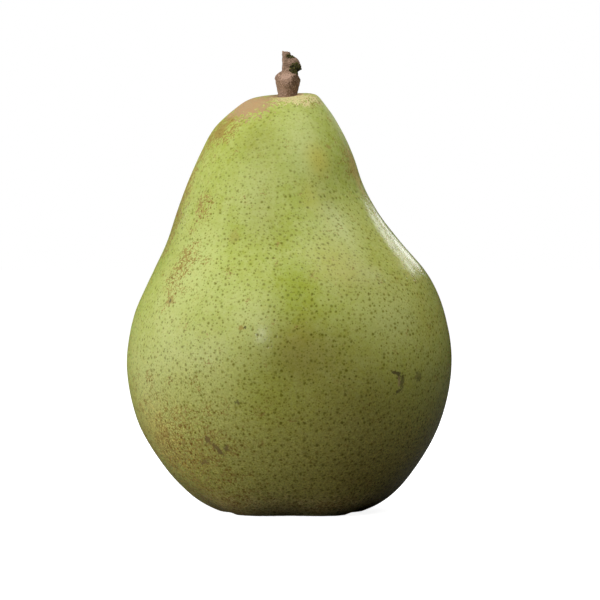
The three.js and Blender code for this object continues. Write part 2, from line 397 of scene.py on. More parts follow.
# %% The Wire
class Wire:
    def __init__(self, socket):
        self.socket = socket

    def node(self, kind, settings=None, inputs=None, output=0):
        """Adds a node to this wire's material, and gives back one of its outputs."""
        tree = self.socket.id_data
        made = tree.nodes.new(kind)
        for name, value in (settings or {}).items():
            setattr(made, name, value)
        for name, value in (inputs or {}).items():
            if isinstance(value, Wire):
                tree.links.new(value.socket, made.inputs[name])
            else:
                made.inputs[name].default_value = value
        return Wire(made.outputs[output]) if made.outputs else made

    def other(self, name):
        """Another output of the node that this wire comes from."""
        return Wire(self.socket.node.outputs[name])

    def maths(self, operation, first, second=0.0):
        return self.node("ShaderNodeMath", {"operation": operation}, {0: first, 1: second})

    def __add__(self, other):
        return self.maths("ADD", self, other)

    def __sub__(self, other):
        return self.maths("SUBTRACT", self, other)

    def __rsub__(self, other):
        return self.maths("SUBTRACT", other, self)

    def __mul__(self, other):
        return self.maths("MULTIPLY", self, other)

    def __truediv__(self, other):
        return self.maths("DIVIDE", self, other)

    def __lt__(self, other):
        return self.maths("LESS_THAN", self, other)

    def __abs__(self):
        return self.maths("ABSOLUTE", self)

    __radd__ = __add__
    __rmul__ = __mul__

    def step(self, low, high):
        """0 below low and 1 above high, with a soft edge. With low above high it falls instead."""
        inputs = {"Value": self, "From Min": low, "From Max": high}
        return self.node("ShaderNodeMapRange", {"interpolation_type": "SMOOTHSTEP"}, inputs)

    def blend(self, below, above, mode="MIX"):
        """Lays the colour above over the colour below, as far as this mask says."""
        settings = {"data_type": "RGBA", "blend_type": mode}
        return self.node("ShaderNodeMix", settings, {0: self, 6: below, 7: above}, output=2)


print("a wire can:", ", ".join(name for name in vars(Wire) if not name.startswith("_")))


# %% Helpers for finishes
def new_finish(name):
    """A new material, and where a point is on its piece, in millimetres."""
    material = bpy.data.materials.new(name)
    material.use_nodes = True
    material.node_tree.nodes.clear()
    metres = Wire(material.node_tree.nodes.new("ShaderNodeTexCoord").outputs["Object"])
    place = metres.node("ShaderNodeVectorMath", {"operation": "SCALE"}, {0: metres, "Scale": 1 / MM})
    return material, place


def cloud(place, size, detail=2.0, roughness=0.5, stretch=(1, 1, 1), shift=0.0):
    """A cloud from 0 to 1 with puffs of about size millimetres, drawn out where stretch is above 1."""
    scale = tuple(1 / (size * longer) for longer in stretch)
    mapping = {"Vector": place, "Scale": scale, "Location": (shift,) * 3}
    moved = place.node("ShaderNodeMapping", None, mapping)
    puffs = {"Vector": moved, "Scale": 1.0, "Detail": detail, "Roughness": roughness}
    return place.node("ShaderNodeTexNoise", None, puffs)


def stored(place, name):
    """A value that the piece's points carry."""
    return place.node("ShaderNodeAttribute", {"attribute_name": name}, None, output=2)


def finish_with(relief, depth, color, roughness, **constants):
    """Ends a material in a Principled shader. The relief becomes a bump, depth millimetres high."""
    bump = relief.node("ShaderNodeBump", None, {"Height": relief, "Distance": depth * MM, "Strength": 1.0})
    sockets = {name.replace("_", " "): value for name, value in constants.items()}
    sockets |= {"Base Color": color, "Roughness": roughness, "Normal": bump}
    shader = relief.node("ShaderNodeBsdfPrincipled", None, sockets)
    relief.node("ShaderNodeOutputMaterial", None, {"Surface": shader})


def paint(piece, material):
    piece.data.materials.clear()
    piece.data.materials.append(material)


# %% [markdown]
# ## Where the skin changes
#
# Russet is cork that the skin grows over small wounds. This pear has a tan cap on the left of its top, a tan
# collar at the stem with a pale halo on its right, flecks down its left flank, and a brown flush low on the
# left and underneath. Each place is a soft mask that the points carry, and the clouds in the finish give it
# its ragged edge.

# %% Mark the places on the skin
def near(azimuth, height, reach, span):
    """1 at a place on the skin and 0 away from it: degrees round the fruit, and millimetres up it."""
    away = np.cos(azimuths - math.radians(azimuth)) - 1
    round_it = np.exp(away / (1 - math.cos(math.radians(reach))))
    return round_it * np.exp(-(((heights - height) / span) ** 2))


def near_point(x, y, z, size_x, size_y, size_z):
    """The same round a point of space, with its size each way, in millimetres."""
    away = (places - (x, y, z)) / (size_x, size_y, size_z)
    return np.exp(-(away**2).sum(axis=1))


def on_skin(azimuth, height):
    """The point of the skin at an azimuth in degrees and a height in millimetres."""
    turned = np.angle(np.exp(1j * (azimuths - math.radians(azimuth)))) * half_widths
    return Vector(places[np.argmin(turned**2 + (heights - height) ** 2)])


NECK_GROWS = (74, 86)
from_stem = np.hypot(places[:, 0] - STEM_MIDDLE_X, places[:, 1] + NECK_FORWARD_LEAN)
keep_on(fruit, "collar", (1 - smooth_step(from_stem, 3.2, 5.0)) * (heights > 95))
keep_on(fruit, "cap", near_point(-9.8, -6.0, 101.6, 7.5, 10.0, 5.0))
keep_on(fruit, "halo", near_point(1.5, -6.5, 103.6, 7.5, 6.5, 2.3))
keep_on(fruit, "base", 1 - smooth_step(heights, -4, 12))
keep_on(fruit, "neck", smooth_step(heights, *NECK_GROWS))
print("marked the top, the neck and the base")

# %% [markdown]
# The other places are patches, strewn over the skin as the photograph shows them, and on the back as they
# might be. Rust is the russet's flecks, flush the brown tint, deep the darker green, and pale the paler green
# together with painted light on the ridge, the shoulder that faces up and the lower left edge. Dusk is
# painted
# shade: a grey darkening in the valley beside the ridge, on the right of the belly and the neck, and at the
# base. Ripe is the yellow, matt where the wax is worn, low the olive lower half, and bruise a pressed spot on
# the neck.

# %% Strew the patches
PATCHES = {
    # share, azimuth, height, reach, span
    "rust": (
        (0.70, -138, 76, 7, 4),
        (0.85, -167, 74, 9, 9),
        (0.35, -168, 84, 11, 14),
        (0.75, -138, 64, 8, 3.5),
        (0.60, -142, 58, 6, 6),
        (0.85, -156, 95, 18, 7),
        (0.62, -140, 16, 30, 13),
        (0.35, -15, 86, 20, 8),
        (0.60, -142, 97, 15, 4),
        (0.45, 95, 60, 24, 16),
        (0.40, 160, 34, 22, 14),
    ),
    "flush": ((1.2, -152, 18, 26, 14), (0.8, -170, 80, 18, 14), (0.9, -30, 14, 34, 14)),
    "deep": (
        (0.9, -98, 31, 10, 9),
        (0.7, -88, 57, 9, 8),
        (0.8, -114, 70, 7, 5),
        (0.5, -72, 76, 8, 6),
        (0.3, -112, 92, 12, 6),
        (0.4, 120, 50, 30, 20),
    ),
    # These patches are partly the paler green of the skin and partly painted light, on the ridge, the
    # shoulder that faces up and the lower left edge.
    "pale": (
        (0.6, -102, 47, 8, 9),
        (0.7, -66, 90, 14, 8),
        (0.8, -50, 50, 14, 7),
        (1.0, -134, 60, 14, 12),
        (0.4, -105, 82, 14, 8),
        (0.9, -150, 30, 16, 11),
        (0.6, -118, 37, 12, 8),
        (0.5, -124, 24, 20, 12),
        (0.9, -55, 72, 14, 5),
    ),
    # These patches are painted shade: a grey darkening where shade falls, in the valley beside the ridge, on
    # the right of the belly and the neck, and at the base.
    "dusk": (
        (1.2, -86, 41, 13, 8),
        (0.5, -68, 42, 14, 9),
        (0.4, -98, 74, 10, 8),
        (0.3, -135, 3, 22, 5),
        (0.5, -105, 93, 18, 6),
        (0.5, -66, 28, 20, 10),
        (0.4, -64, 24, 22, 14),
        (0.75, -56, 9, 20, 8),
        (0.5, -60, 60, 18, 7),
        (0.4, -58, 78, 8, 5),
        (0.8, -16, 87, 8, 5),
    ),
    "ripe": (
        (1.0, -57, 88, 12, 5),
        (0.8, -68, 61, 18, 9),
        (0.6, -68, 78, 9, 5),
        (0.6, -88, 42, 12, 8),
        (0.6, 60, 70, 40, 20),
        (0.5, -20, 45, 30, 12),
    ),
    "bruise": ((1.0, -16, 87, 8, 5), (0.5, -16, 79, 6, 8)),
    "matt": ((1.4, -155, 44, 26, 24),),
    "low": ((0.3, -30, 58, 26, 16),),
}
patches = {name: sum(share * near(*patch) for share, *patch in rows) for name, rows in PATCHES.items()}
patches["rust"] += 0.30 * (1 - smooth_step(heights, 0, 12))
patches["rust"] += 0.55 * near_point(2.0, -7.0, 103.3, 9.0, 6.0, 2.6)
patches["matt"] += smooth_step(heights, *NECK_GROWS)
SHADED_AZIMUTH = math.radians(-30)
shaded_side = 0.75 + 0.25 * np.cos(azimuths - SHADED_AZIMUTH)
patches["low"] += (1 - smooth_step(heights, 2, 60)) * shaded_side
for name, values in patches.items():
    keep_on(fruit, name, values)
print("strewn", sum(map(len, PATCHES.values())), "patches for", len(patches), "masks")


# %% [markdown]
# ## The pores
#
# Each cell of the pattern holds one pore, somewhere in it. The cell's random colour settles how large and how
# dark the pore is, and whether it shows at all. A pore counts only where its centre lies in the middle half
# of a gore, so that the two peelings share the skin between them.

# %% The pores as a mask
PORE_STRAYS = 0.85
PORE_RIM = 1.6  # a pore fades in from here to PORE_CORE, in radii
PORE_CORE = 0.25
PALEST_PORE = 0.55
LOW_PORES_WIDER = 0.25
NECK_PORES_PALER = 0.25


def pores(place, spacing, smallest, largest, share):
    """A mask of pores. Their radii go from smallest to largest, and share of the cells have one."""
    both = None
    for name in ("pores_a", "pores_b"):
        flat = place.node("ShaderNodeUVMap", {"uv_map": name})
        inputs = {"Vector": flat, "Scale": 1 / spacing, "Randomness": PORE_STRAYS}
        cells = flat.node("ShaderNodeTexVoronoi", {"voronoi_dimensions": "2D"}, inputs)
        across = cells.node("ShaderNodeSeparateXYZ", None, {0: cells.other("Position")})
        aside = abs(across - across.maths("ROUND", across / GORE_STEP) * GORE_STEP)
        chosen = aside < stored(place, "half_width") * (GORE_ANGLE / 4)
        size = cells.node("ShaderNodeSeparateColor", None, {0: cells.other("Color")})
        radius = (size * (largest - smallest) + smallest) * (stored(place, "low") * LOW_PORES_WIDER + 1.0)
        dot = (cells * spacing).step(radius * PORE_RIM, radius * PORE_CORE)
        there = size.other("Blue") < share
        darkness = size.other("Green") * (1 - PALEST_PORE) + PALEST_PORE
        mask = dot * chosen * there * (darkness - stored(place, "neck") * NECK_PORES_PALER)
        both = mask if both is None else both.maths("MAXIMUM", both, mask)
    return both


# %% [markdown]
# ## The skin's finish
#
# From below to above: two greens in slow clouds, the paler one partly painted light, yellower where the skin
# ripened, olive and brown towards the base, a paler underside that is partly painted light in place of light
# bounced up from below, and painted shade over them; the flecks of russet; the pores, which darken what lies
# under them; the marks, the halo and the cork.
# The skin is waxy, so it has a gloss that fine relief breaks into grains, and cork is duller. The numbers are
# shares: how much a cloud or a mask counts, and between which two values a step fades in.

# %% Mix the ground colours
GREEN = (0.465, 0.515, 0.15, 1)
DEEP_GREEN = (0.33, 0.385, 0.045, 1)
PALE_GREEN = (0.525, 0.58, 0.22, 1)
YELLOW = (0.49, 0.46, 0.085, 1)
OLIVE = (0.455, 0.39, 0.10, 1)
BROWN = (0.62, 0.51, 0.15, 1)
# The underside's russet, made paler as painted light that stands in for light bounced up from below.
UNDERSIDE = (0.64, 0.53, 0.21, 1)
# The grey that the painted shade multiplies in.
PAINTED_SHADE = (0.67, 0.61, 0.59, 1)
SPECKLE = (0.72, 0.69, 0.68, 1)
GLINT = (1.45, 1.5, 1.35, 1)

skin, place = new_finish("pear_skin")
# Each cloud has a size in millimetres, a number of finer octaves, and how strong those are.
slow = cloud(place, 16, 3)
mottle = cloud(place, 2.2, 4, 0.6, shift=30)
fine = cloud(place, 0.8, 3, 0.6, shift=45)
grain = cloud(place, 0.4, 2, 0.5, shift=60)
puffs = slow * 0.5 + mottle * 0.9 + fine * 0.8 + stored(place, "deep") * 0.5 - stored(place, "pale") * 0.3
# The paler green is laid partly as the skin's own tone and partly as painted light.
greens = (stored(place, "pale") * 0.6).blend(puffs.step(0.7, 1.6).blend(GREEN, DEEP_GREEN), PALE_GREEN)
yellows = (stored(place, "ripe") * 0.6 + (slow - 0.5) * 0.6).step(0.1, 0.8).blend(greens, YELLOW)
olives = (stored(place, "low") * 0.9).blend(yellows, OLIVE)
browning = stored(place, "flush") * 0.6 + stored(place, "bruise") + (mottle - 0.5) * 1.2
browned = (browning.step(0.15, 1.1) * 0.8).blend(olives, BROWN)
speckle = grain.step(0.55, 0.4) * (stored(place, "low") * 0.7 + 0.1)
glints = grain.step(0.54, 0.62) * (stored(place, "low") * 0.4 + stored(place, "flush") * 0.35 + 0.05)
# Partly painted light: the base is paler than its russet, in place of light bounced up from below.
based = (stored(place, "base") + (mottle - 0.5) * 1.2).step(0.1, 0.9).blend(browned, UNDERSIDE)
# Painted shade: a grey darkening multiplied in where shade falls.
dusky = (stored(place, "dusk") * 0.8).blend(based, PAINTED_SHADE, "MULTIPLY")
grained = speckle.blend(dusky, SPECKLE, "MULTIPLY")
ground = glints.blend(grained, GLINT, "MULTIPLY")
print("ground colours mixed with", len(skin.node_tree.nodes), "nodes")

# %% Add the flecks and the pores
PORE_SHADE = (0.44, 0.41, 0.20, 1)
RUSTY_SHADE = (0.55, 0.36, 0.20, 1)
FLECK = (0.335, 0.24, 0.06, 1)
rust = stored(place, "rust") + (cloud(place, 4, 2, shift=75) - 0.5) * 1.4 - 0.08
shade = rust.step(0.1, 0.6).blend(PORE_SHADE, RUSTY_SHADE)
BIG_PORES = (1.45, 0.16, 0.37)  # spacing, and the smallest and the largest radius
SMALL_PORES = (0.8, 0.10, 0.20)
SPECKS = (0.6, 0.10, 0.20)
big_pores = pores(place, *BIG_PORES, rust * 0.3 + 0.85)
small_pores = pores(place, *SMALL_PORES, rust * 0.6 + 0.65)
specks = pores(place, *SPECKS, rust * 1.2 + stored(place, "low") * 0.4 - 0.1)
veins = cloud(place, 1.2, 1, 0.5, shift=90)
net = (abs(veins - 0.5) * 10.0).step(1.0, 0.1)
flecks = (rust + net * 0.8).step(0.86, 1.02)
flecked = (flecks * 0.85).blend(ground, FLECK)
faint = (small_pores.maths("MAXIMUM", small_pores, specks) * 0.75).blend(flecked, shade, "MULTIPLY")
pored = big_pores.blend(faint, shade, "MULTIPLY")
print("three sizes of pores, the widest", 2 * BIG_PORES[2], "mm across")

# %% [markdown]
# ## Scars and spots
#
# A fruit that grew outdoors has a few marks: a scar low on the left, a corky crack on the right of the belly,
# and spots. Each is an oval on the skin with a ragged edge. A Mapping node of the texture kind moves, turns
# and scales space so that the oval becomes a ball, and the distance from the ball's middle does the rest.
# The ball reaches a few millimetres into the flesh, so that the oval is whole where the skin is uneven.

# %% Lay the marks on the skin
SCAR = (0.20, 0.145, 0.05, 1)
DARK = (0.10, 0.085, 0.03, 1)
CRACK = (0.36, 0.25, 0.12, 1)
MARK_DEPTH = 3.0
MARK_RIM = 1.2  # from the middle, where the middle to the edge of the oval is 1
MARK_CORE = 0.7
RAGGEDNESS = 3.5
MARKS = (
    # azimuth, height, width, length, turn, share, colour
    (-122.2, 19.6, 1.7, 2.1, -30, 0.9, SCAR),
    (-120.2, 17.4, 1.3, 4.4, -38, 0.9, SCAR),
    (-115.0, 17.2, 1.3, 1.5, 0, 0.9, SCAR),
    (-127.5, 14.0, 3.2, 1.3, -15, 0.7, SCAR),
    (-107.0, 46.7, 1.6, 1.1, 0, 0.8, FLECK),
    (-105.5, 46.8, 0.7, 0.7, 0, 0.9, DARK),
    (-113.9, 68.8, 2.4, 3.2, 10, 0.3, FLECK),
    (-140.6, 53.4, 2.3, 2.3, 0, 0.8, FLECK),
    (-140.6, 53.4, 0.9, 1.0, 0, 0.8, DARK),
    (-108.3, 28.6, 1.5, 1.0, 0, 0.7, DARK),
    (-43.6, 91.0, 1.5, 1.1, 0, 0.6, FLECK),
    (-50.2, 35.9, 3.0, 1.0, 10, 0.9, DARK),
    (-49.0, 34.9, 1.3, 1.5, 20, 0.75, DARK),
    (-48.3, 33.6, 1.4, 4.0, 0, 0.7, DARK),
    (-48.6, 33.2, 0.7, 2.6, 0, 0.6, CRACK),
    (-49.8, 31.6, 1.9, 0.8, -35, 0.8, DARK),
    (-39.4, 34.4, 2.6, 2.6, 0, 0.5, DARK),
)
ragged = (cloud(place, 0.6, 3, 0.7, shift=150) - 0.5) * RAGGEDNESS
marked = pored
for azimuth, height, width, length, turn, share, color in MARKS:
    oval = {
        "Vector": place,
        "Location": on_skin(azimuth, height),
        "Rotation": (0, math.radians(turn), math.radians(azimuth + 90)),
        "Scale": (width / 2, MARK_DEPTH, length / 2),
    }
    moved = place.node("ShaderNodeMapping", {"vector_type": "TEXTURE"}, oval)
    away = moved.node("ShaderNodeVectorMath", {"operation": "LENGTH"}, {0: moved}, output=1)
    marked = ((away + ragged).step(MARK_RIM, MARK_CORE) * share).blend(marked, color)
print("laid", len(MARKS), "marks")

# %% Add the halo and the cork, and finish the skin
SKIN_RELIEF = 0.10
TAN = (0.42, 0.268, 0.138, 1)
PALE = (0.66, 0.57, 0.28, 1)
streaks = cloud(place, 0.9, 2, 0.5, stretch=(1, 1, 1.6), shift=120) - 0.5
halo = stored(place, "halo")
ragged_halo = (halo + streaks * 3.0 + (grain - 0.5) * 3.0).step(0.4, 0.7)
haloed = (halo.step(0.1, 0.3) * ragged_halo * 0.85).blend(marked, PALE)
cork = (stored(place, "cap") + stored(place, "collar") + streaks * 1.2 + net * 0.35).step(0.62, 0.72)
corked = (cork * 0.92).blend(haloed, TAN)
roughness = cork * 0.3 + flecks * 0.1 + stored(place, "matt") * 0.3 + grain * 0.10 + 0.12
relief = grain * 0.25 + mottle * 0.4 - big_pores * 0.25 + cork * streaks * 2.0
finish_with(relief, SKIN_RELIEF, corked, roughness, IOR=1.26, Subsurface_Weight=0.1, Subsurface_Scale=0.002)
paint(fruit, skin)
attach(fruit, "root")
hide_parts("fruit")
print("skin nodes:", len(skin.node_tree.nodes))

# %% [markdown]
# ## The stem
#
# The stem left the tree at a joint, where it had swollen into a knuckle. Over the knuckle stand the stub that
# broke off, and the lobe of an old bud beside it. They grew as one, so they are modelled as three simple
# forms, joined, and wrapped in one skin by a voxel remesh, as a sculptor joins lumps of clay.

# %% Model the knuckle, the stub and the lobe
STEM_FOOT = Vector((STEM_MIDDLE_X, -NECK_FORWARD_LEAN, FRUIT_HEIGHT))
KNUCKLE_DEPTH_SHARE = 0.92
KNUCKLE = (
    # half width, middle, height over the foot
    (2.2, 0, -3.2),
    (2.3, 0.05, 0),
    (2.6, 0.15, 1.2),
    (3.0, 0.22, 3.0),
    (3.25, 0.22, 4.3),
    (3.1, 0.25, 5.0),
    (2.4, 0.35, 5.8),
    (1.2, 0.3, 6.3),
)
STUB = ((1.5, 0.1, 4.5), (1.25, 0.0, 7.0), (1.1, -0.1, 9.5), (1.05, -0.2, 10.5), (1.0, -0.25, 10.9))
LOBE_MIDDLE = STEM_FOOT + Vector((1.6, -0.2, 7.2))
LOBE_SIZE = (1.9, 1.75, 2.7)
LOBE_LEAN = math.radians(16)


def over_foot(stations):
    return [STEM_FOOT + Vector((middle, 0, height)) for _, middle, height in stations]


def half_widths_of(stations):
    return [half_width for half_width, _, _ in stations]


stem = grow_rings("pear_stem", 28, half_widths_of(KNUCKLE), over_foot(KNUCKLE), KNUCKLE_DEPTH_SHARE)
stub = grow_rings("stub", 20, half_widths_of(STUB), over_foot(STUB))
nothing_selected()
bpy.ops.mesh.primitive_uv_sphere_add(segments=28, ring_count=18, radius=MM, location=LOBE_MIDDLE * MM)
lobe = start_piece("lobe")
bpy.ops.object.transform_apply(location=True)
bpy.ops.object.mode_set(mode="EDIT")
bpy.ops.transform.resize(value=LOBE_SIZE, center_override=LOBE_MIDDLE * MM)
bpy.ops.transform.rotate(value=LOBE_LEAN, orient_axis="Y", center_override=LOBE_MIDDLE * MM)
bpy.ops.object.mode_set(mode="OBJECT")
join(stem, (stub, lobe))
STEM_VOXEL = 0.11
apply_modifier(stem, "REMESH", mode="VOXEL", voxel_size=STEM_VOXEL * MM)
apply_modifier(stem, "SMOOTH", factor=0.5, iterations=4)
lowest = min(point.co.z for point in stem.data.vertices) / MM
print("stem:", len(stem.data.vertices), "points, the lowest at", round(lowest, 1), "mm")

# %% [markdown]
# ## Bark
#
# A knuckle isn't round. It has flat sides where the wood dried, and their edges catch the light. Each facet
# below is a direction from the knuckle's middle and a distance. What stands out further is pushed most of
# the way back. The stub ends in a ragged break. Two clouds, a coarse and a fine one, then give the bark its
# crust.

# %% Cut the facets and roughen the bark
KNUCKLE_MIDDLE = STEM_FOOT + Vector((0.2, 0, 3.9))
KNUCKLE_REACH = 4.2
BARK_STARTS = STEM_FOOT.z + 0.4
PUSH_BACK = 0.8
BREAK_STARTS = STEM_FOOT.z + 10.1
BREAK_ENDS = STEM_FOOT.z + 10.9
BREAK_DEPTH = 0.5
SPLINTERS_PER_MM = 1.3
FACETS = (
    # direction, distance in millimetres
    ((-0.30, -0.80, 0.52), 2.45),
    ((0.72, -0.66, -0.20), 2.55),
    ((-0.75, -0.55, -0.38), 2.70),
    ((0.85, 0.10, 0.50), 2.60),
    ((0.30, 0.90, -0.20), 2.60),
    ((-0.60, 0.70, 0.35), 2.55),
)
for point in stem.data.vertices:
    place_now = point.co / MM
    arm = place_now - KNUCKLE_MIDDLE
    if arm.length < KNUCKLE_REACH and place_now.z > BARK_STARTS:
        for direction, distance in FACETS:
            facing = Vector(direction).normalized()
            over = arm.dot(facing) - distance
            if over > 0:
                arm -= facing * over * PUSH_BACK
        place_now = KNUCKLE_MIDDLE + arm
    broken = smooth_step(place_now.z, BREAK_STARTS, BREAK_ENDS)
    place_now.z += float(broken) * BREAK_DEPTH * noise.noise(place_now * SPLINTERS_PER_MM)
    point.co = place_now * MM
roughen(stem, "crust", puff=0.9, height=0.26)
roughen(stem, "grit", puff=0.32, height=0.12)
only(stem)
bpy.ops.object.shade_smooth()
print("stem is", size_in_mm(stem), "mm")

# %% [markdown]
# ## The bark's finish
#
# The bark is brown. On the front of the knuckle it is a pale pinkish tan, partly bark that was rubbed and
# partly painted light where the lamps fall on that facet, and grit of the same colour is strewn over the
# rest.
# Its right side is darker, which is painted shade. The lobe is nearly black where moss holds water, and so is
# the break. Points carry these places, as on the skin.

# %% Mark the places on the stem
MOSS_MIDDLE = STEM_FOOT + Vector((2.1, -1.3, 6.7))
TIP_MOSS = STEM_FOOT + Vector((0.9, -0.9, 9.8))
stem_places = np.array([point.co for point in stem.data.vertices]) / MM


def near_stem(middle, size):
    return np.exp(-(((stem_places - middle) / size) ** 2).sum(axis=1))


# Painted shade: the right side of the knuckle is darkened, and with it the damp bark by the lobe.
shaded = near_stem(STEM_FOOT + Vector((2.6, -1.5, 2.2)), (1.7, 2.5, 2.6))
damp = near_stem(STEM_FOOT + Vector((1.9, -1.0, 8.4)), (1.3, 1.8, 2.0))
# Partly painted light: the front facet of the knuckle, which faces the lamps, gets the pale tan of rubbed
# bark.
keep_on(stem, "rubbed", near_stem(STEM_FOOT + Vector((-0.5, -3.0, 4.4)), (2.6, 1.8, 1.7)))
keep_on(stem, "dark", shaded + 0.8 * damp)
keep_on(stem, "mossy", near_stem(MOSS_MIDDLE, (1.6, 1.6, 1.6)) + near_stem(TIP_MOSS, (1.1, 0.9, 0.5)))
print("marked the rubbed, the dark and the mossy bark")

# %% Paint the bark
BARK = (0.25, 0.155, 0.095, 1)
DARK_BARK = (0.15, 0.09, 0.05, 1)
PINKISH_TAN = (0.44, 0.28, 0.20, 1)
SOOT = (0.035, 0.032, 0.012, 1)
BARK_RELIEF = 0.12
bark, place = new_finish("stem_bark")
grit = cloud(place, 0.3, 2, 0.6)
crust = cloud(place, 0.9, 4, 0.65, shift=20)
fibres = cloud(place, 0.35, 3, 0.6, stretch=(1, 1, 5), shift=40)
woods = (stored(place, "dark") * 0.9 + crust * 0.8 - 0.1).step(0.2, 0.7).blend(BARK, DARK_BARK)
striped = (fibres.step(0.5, 0.7) * 0.4).blend(woods, PINKISH_TAN)
strewn = (grit.step(0.53, 0.60) * 0.7).blend(striped, PINKISH_TAN)
pitted = (grit.step(0.45, 0.36) * 0.6).blend(strewn, DARK_BARK)
# The pale front of the knuckle: rubbed bark and painted light.
rubbed = (stored(place, "rubbed") + (grit - 0.5) * 3.0).step(0.4, 0.65).blend(pitted, PINKISH_TAN)
sooty = (stored(place, "mossy") + (crust - 0.5) * 1.2).step(0.4, 0.6).blend(rubbed, SOOT)
relief = grit * 0.6 + crust * 0.5 + fibres * 0.4
finish_with(relief, BARK_RELIEF, sooty, grit * 0.2 + 0.62, IOR=1.4)
paint(stem, bark)
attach(stem, "root")
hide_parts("stem")
print("bark nodes:", len(bark.node_tree.nodes))

# %% [markdown]
# ## Moss
#
# A tuft of moss sits on the lobe's right, and a smaller one under the break. Moss at this size is a heap of
# little cushions. One ball of few faces is copied onto the bark, and each copy is turned to face outwards and
# squashed by chance, from a fixed seed. They are strewn more thinly towards the tuft's edge.

# %% Strew the moss
MOSS_CUSHIONS = 190
CUSHION_RADIUS = 0.23
CUSHION_SIZES = (0.55, 1.15)
CUSHION_WIDTHS = (0.8, 1.2)
CUSHION_HEIGHTS = (0.6, 1.0)
MOSS_STARTS = 0.4
MOSS_THINS = 1.5
MOSS_SEED = 7
rng = np.random.default_rng(MOSS_SEED)
stem_normals = np.array([point.normal for point in stem.data.vertices])
mossy = read_from(stem, "mossy")
chance = np.where(mossy > MOSS_STARTS, mossy**MOSS_THINS, 0)
chosen = rng.choice(len(mossy), MOSS_CUSHIONS, replace=False, p=chance / chance.sum())
cushions = []
nothing_selected()
bpy.ops.mesh.primitive_ico_sphere_add(subdivisions=2, radius=CUSHION_RADIUS * MM)
cushion = start_piece("moss_cushion")
for number in chosen:
    copy = cushion.copy()
    copy.data = cushion.data.copy()
    bpy.context.scene.collection.objects.link(copy)
    facing = Vector(stem_normals[number])
    copy.location = Vector(stem_places[number]) * MM
    copy.rotation_euler = facing.to_track_quat("Z", "Y").to_euler()
    size = rng.uniform(*CUSHION_SIZES)
    copy.scale = (size * rng.uniform(*CUSHION_WIDTHS), size, size * rng.uniform(*CUSHION_HEIGHTS))
    cushions.append(copy)
bpy.data.objects.remove(cushion)
join(cushions[0], cushions[1:])
moss = start_piece("stem_moss")
bpy.ops.object.transform_apply(location=True, rotation=True, scale=True)
roughen(moss, "moss_fuzz", puff=0.18, height=0.16)
bpy.ops.object.shade_smooth()
print("moss:", len(moss.data.polygons), "faces in", MOSS_CUSHIONS, "cushions")

# %% Paint the moss
MOSS_GREEN = (0.12, 0.11, 0.018, 1)
MOSS_BLACK = (0.025, 0.023, 0.007, 1)
MOSS_RELIEF = 0.1
moss_finish, place = new_finish("moss")
tufts = cloud(place, 0.35, 4, 0.7)
crumbs = cloud(place, 0.3, 2, 0.5, shift=30)
greenery = tufts.step(0.4, 0.65).blend(MOSS_BLACK, MOSS_GREEN)
crumbled = (crumbs.step(0.66, 0.72) * 0.8).blend(greenery, BARK)
finish_with(tufts, MOSS_RELIEF, crumbled, tufts * 0.1 + 0.85, IOR=1.35)
paint(moss, moss_finish)
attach(moss, "root")
print("moss nodes:", len(moss_finish.node_tree.nodes))

# %% [markdown]
# ## The calyx
#
# The flower left its cup, five sepals and a tuft of stamens in the basin underneath, where they dried nearly
# black. Nobody sees them while the pear stands, but a hand that picks it up does. The cup is grown from
# rings like the fruit, and each stamen is a thin one that leans. A sepal is a flat grid at first: it is
# narrowed to a point, laid along a short path that leads out and curls up, and thickened to a dry leaf.

# %% Shape a sepal and a stamen
SEPALS = 5
SEPAL_HALF_WIDTH = 1.45
SEPAL_THICKNESS = 0.3
SEPAL_TAPER = 0.85
SEPAL_TAPER_POWER = 1.6
SEPAL_FRILL = 0.15
SEPAL_FOLD = 0.2
SEPAL_CRIMP = 0.35
SEPAL_RIPPLE = 0.12
SEPAL_TWIST = 0.12
SEPAL_BASE_REACH = 2.2
SEPAL_PATH = np.array([
    # share of its length, distance from the middle, height
    [0.0, 1.8, 4.0],
    [0.3, 2.8, 3.0],
    [0.65, 4.1, 2.55],
    [1.0, 5.0, 3.0],
])
STAMENS = 9
STAMEN_LENGTH = 2.4
STAMEN_BASE_REACH = 0.7
STAMEN_SPREAD = 0.6
STAMEN_LEAN = 0.35
STAMEN_RINGS = ((0, 0.17), (0.4, 0.13), (0.8, 0.11), (0.92, 0.22), (1, 0.12))  # share of its length, radius


def around(theta, reach, height):
    return Vector((reach * math.cos(theta), reach * math.sin(theta), height))


def grow_sepal(number):
    """Bends a flat grid into one sepal. The sines give each its own frill, crimp and ripple."""
    nothing_selected()
    bpy.ops.mesh.primitive_grid_add(x_subdivisions=6, y_subdivisions=12, size=2)
    sepal = start_piece("sepal")
    theta = LOBE_TURN + 2 * math.pi * number / SEPALS
    crimp = SEPAL_CRIMP * math.sin(3 * number + 1)
    for point in sepal.data.vertices:
        aside, share = point.co.x, (point.co.y + 1) / 2
        reach, height = (float(np.interp(share, SEPAL_PATH[:, 0], SEPAL_PATH[:, axis])) for axis in (1, 2))
        taper = 1 - SEPAL_TAPER * share**SEPAL_TAPER_POWER
        frill = 1 + SEPAL_FRILL * math.sin(9 * share + 2 * number)
        ripple = SEPAL_RIPPLE * math.sin(7 * share + 3 * aside + number)
        width = SEPAL_HALF_WIDTH * taper * frill
        height += (SEPAL_FOLD + crimp) * share * aside**2 + ripple
        turned = theta + SEPAL_TWIST * share + aside * width / max(reach, SEPAL_BASE_REACH)
        point.co = around(turned, reach, height) * MM
    apply_modifier(sepal, "SOLIDIFY", thickness=SEPAL_THICKNESS * MM, offset=0)
    return sepal


